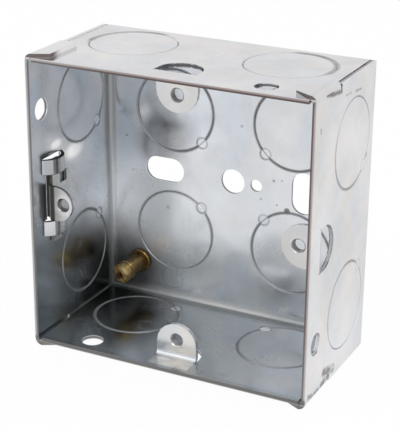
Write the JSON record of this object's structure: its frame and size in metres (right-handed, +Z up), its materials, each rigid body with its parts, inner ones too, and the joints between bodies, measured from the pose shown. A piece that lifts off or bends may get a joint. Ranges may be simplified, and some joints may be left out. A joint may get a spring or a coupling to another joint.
{
  "type": "back box",
  "caption": "Square one-gang flush back box of folded galvanised steel with knock-outs, fixing ears, a sliding adjustable lug and a brass earth terminal.",
  "frame": {"origin": "middle of the bounding box's bottom, under the corner tabs of the bottom wall", "axes": "+Z up the box, +Y from the open front to the back wall, +X to the right as seen from the open front"},
  "size_m": [0.0714, 0.037, 0.0734],
  "materials": {
    "galvanised_steel": "galvanised sheet, semi-bright, with dull sheared edges",
    "zinc_plate": "bright zinc plate",
    "brass": "turned brass"
  },
  "bodies": {
    "box": {"folded_shell": "galvanised_steel", "earth_pillar": "brass"},
    "lug": {"adjustable_lug": "zinc_plate"},
    "clamp_washer": {"earth_washer": "brass"},
    "terminal_screw": {"earth_screw": "brass"}
  },
  "joints": [
    {"name": "lug_slide", "type": "slide", "parent": "box", "child": "lug", "axis": [0, 0, 1], "range_m": [-0.00015, 0.00275]},
    {"name": "washer_travel", "type": "slide", "parent": "box", "child": "clamp_washer", "axis": [0, -1, 0], "range_m": [0, 0.0018]},
    {"name": "screw_turn", "type": "hinge", "parent": "clamp_washer", "child": "terminal_screw", "pos_m": [-0.0259, 0.008, 0.0107], "axis": [0, -1, 0], "range_deg": [0, 1080]}
  ],
  "couplings": [
    {"joint": "screw_turn", "follows": "washer_travel", "rad_per_m": 10472}
  ]
}
